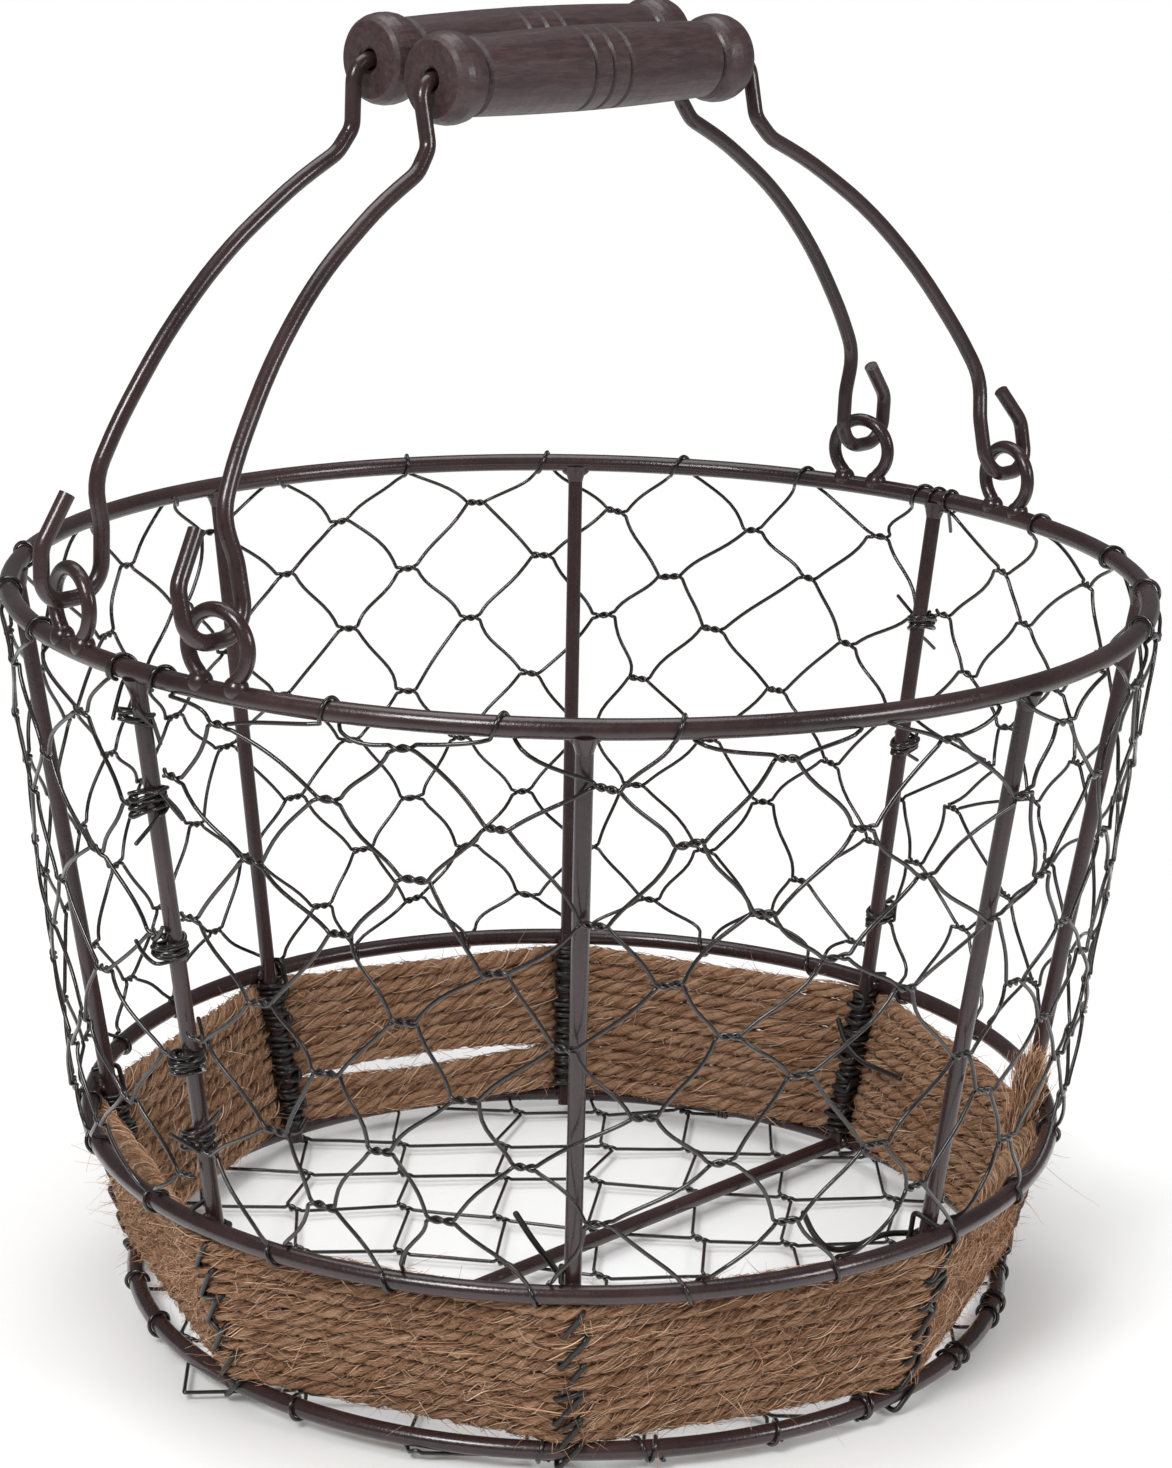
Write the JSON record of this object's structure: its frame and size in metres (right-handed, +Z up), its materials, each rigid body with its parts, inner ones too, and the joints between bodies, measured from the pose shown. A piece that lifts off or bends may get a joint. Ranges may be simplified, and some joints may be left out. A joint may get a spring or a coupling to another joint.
{
  "type": "wire egg collection basket",
  "caption": "Round open wire basket with a rope-wound lower band, hexagonal netting sides and floor, and a pair of swinging bail handles with turned wooden grips.",
  "frame": {"origin": "centre of the basket at the lowest point it stands on", "axes": "+Z up, X along the base crossbar and the two handle grips, -Y towards the bail that leans further in"},
  "size_m": [0.2962, 0.2868, 0.3245],
  "materials": {
    "coated_wire": "semi-gloss powder coat over steel wire",
    "stained_wood": "satin dark brown stain on turned wood",
    "jute": "rough twisted natural fibre rope",
    "lashing_wire": "black coated soft wire",
    "netting_wire": "coated thin steel wire"
  },
  "bodies": {
    "basket": {"rim_ring": "coated_wire", "middle_ring": "coated_wire", "base_ring": "coated_wire", "rib_1": "coated_wire", "rib_2": "coated_wire", "rib_3": "coated_wire", "rib_4": "coated_wire", "rib_5": "coated_wire", "rib_6": "coated_wire", "rib_7": "coated_wire", "rib_8": "coated_wire", "base_crossbar": "coated_wire", "eyelet_left_back": "coated_wire", "eyelet_left_front": "coated_wire", "eyelet_right_back": "coated_wire", "eyelet_right_front": "coated_wire", "jute_rope": "jute", "lashing_1": "lashing_wire", "lashing_2": "lashing_wire", "lashing_3": "lashing_wire", "lashing_4": "lashing_wire", "lashing_5": "lashing_wire", "lashing_6": "lashing_wire", "lashing_7": "lashing_wire", "lashing_8": "lashing_wire", "netting_side_back": "netting_wire", "netting_side_front": "netting_wire", "netting_floor": "netting_wire", "netting_ties_right": "netting_wire", "netting_ties_left": "netting_wire"},
    "front_bail": {"bail_front": "coated_wire"},
    "back_bail": {"bail_back": "coated_wire"},
    "front_grip": {"grip_front": "stained_wood"},
    "back_grip": {"grip_back": "stained_wood"}
  },
  "joints": [
    {"name": "front_bail_swing", "type": "hinge", "parent": "basket", "child": "front_bail", "pos_m": [0, -0.02551, 0.19802], "axis": [1, 0, 0], "range_deg": [0, 101.8]},
    {"name": "back_bail_swing", "type": "hinge", "parent": "basket", "child": "back_bail", "pos_m": [0, 0.02551, 0.19802], "axis": [-1, 0, 0], "range_deg": [0, 91.2]},
    {"name": "front_grip_spin", "type": "hinge", "parent": "front_bail", "child": "front_grip", "pos_m": [0, -0.00045, 0.31107], "axis": [1, 0, 0], "continuous": true},
    {"name": "back_grip_spin", "type": "hinge", "parent": "back_bail", "child": "back_grip", "pos_m": [0, 0.02167, 0.31376], "axis": [1, 0, 0], "continuous": true}
  ]
}
